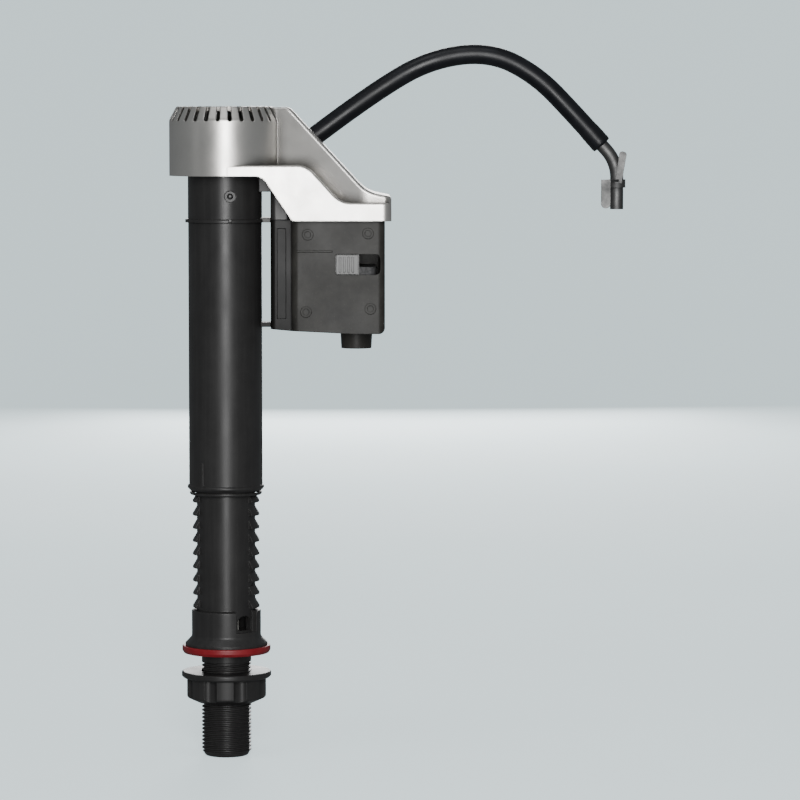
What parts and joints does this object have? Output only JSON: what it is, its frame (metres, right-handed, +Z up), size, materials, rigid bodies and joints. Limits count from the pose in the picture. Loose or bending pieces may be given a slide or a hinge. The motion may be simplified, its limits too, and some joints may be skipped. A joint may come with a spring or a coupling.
{
  "type": "toilet fill valve",
  "caption": "Toilet tank fill valve with threaded tail, twist-locked telescoping tube, vented cap, float cup and lever, level shutter, and refill hose with a metal overflow clip.",
  "frame": {"origin": "on the valve's axis at the tank floor's inner face, which the washer's underside lies on; the tank floor's hole holds the part there", "axes": "+Z up along the valve's axis, +X towards the float cup, -Y towards the viewer, who faces the cup's front"},
  "size_m": [0.2203, 0.0659, 0.342],
  "materials": {
    "black_plastic": "satin",
    "cup_grey": "satin",
    "silver_plastic": "satin",
    "natural_plastic": "satin",
    "shutter_grey": "satin",
    "red_rubber": "matte",
    "black_rubber": "matte",
    "hose_rubber": "satin",
    "float_foam": "matte",
    "steel": "polished"
  },
  "bodies": {
    "base": {"shank_body": "black_plastic", "shank_washer": "red_rubber", "inlet_pipe": "natural_plastic", "inlet_screen": "natural_plastic", "inlet_o_rings": "black_rubber"},
    "lock_nut": {"lock_nut": "black_plastic"},
    "height_guide": {"guide_ring": "black_plastic"},
    "head": {"upper_tube": "black_plastic", "riser_tube": "natural_plastic", "valve_body": "black_plastic", "head_rivet": "steel", "diaphragm": "black_rubber", "bonnet": "natural_plastic", "bonnet_o_ring": "black_rubber", "lever_pin": "steel", "float_cup": "cup_grey", "spout_cage": "cup_grey", "refill_elbow": "black_plastic", "elbow_o_ring": "black_rubber", "refill_hose": "hose_rubber", "clip_spout": "steel", "clip_hook": "steel"},
    "valve_disc": {"valve_disc": "red_rubber"},
    "lever": {"lever": "natural_plastic", "pilot_pad": "black_rubber"},
    "float": {"float": "float_foam", "float_rod": "natural_plastic", "link_pin": "steel"},
    "level_shutter": {"level_shutter": "shutter_grey"},
    "drain_flap": {"drain_flap": "black_rubber"},
    "cap": {"top_cap": "silver_plastic"}
  },
  "joints": [
    {"name": "height_slide", "type": "slide", "parent": "base", "child": "height_guide", "axis": [0, 0, 1], "range_m": [-0.0508, 0.05715]},
    {"name": "lock_twist", "type": "hinge", "parent": "height_guide", "child": "head", "pos_m": [0, 0, 0.08], "axis": [0, 0, 1], "range_deg": [-90, 0]},
    {"name": "float_rise", "type": "slide", "parent": "head", "child": "float", "axis": [0, 0, 1], "range_m": [0, 0.01]},
    {"name": "lever_tilt", "type": "hinge", "parent": "head", "child": "lever", "pos_m": [0.01, 0, 0.2475], "axis": [0, -1, 0], "range_deg": [0, 9.2]},
    {"name": "disc_lift", "type": "slide", "parent": "head", "child": "valve_disc", "axis": [0, 0, 1], "range_m": [0, 0.002]},
    {"name": "shutter_slide", "type": "slide", "parent": "head", "child": "level_shutter", "axis": [1, 0, 0], "range_m": [0, 0.008]},
    {"name": "drain_flap_lift", "type": "slide", "parent": "head", "child": "drain_flap", "axis": [0, 0, 1], "range_m": [0, 0.0018]},
    {"name": "cap_lift", "type": "slide", "parent": "head", "child": "cap", "axis": [0, 0, 1], "range_m": [0, 0.045]},
    {"name": "lock_nut_travel", "type": "slide", "parent": "base", "child": "lock_nut", "axis": [0, 0, 1], "range_m": [-0.026, 0]}
  ],
  "couplings": [
    {"joint": "lever_tilt", "follows": "float_rise", "rad_per_m": 15.65}
  ]
}
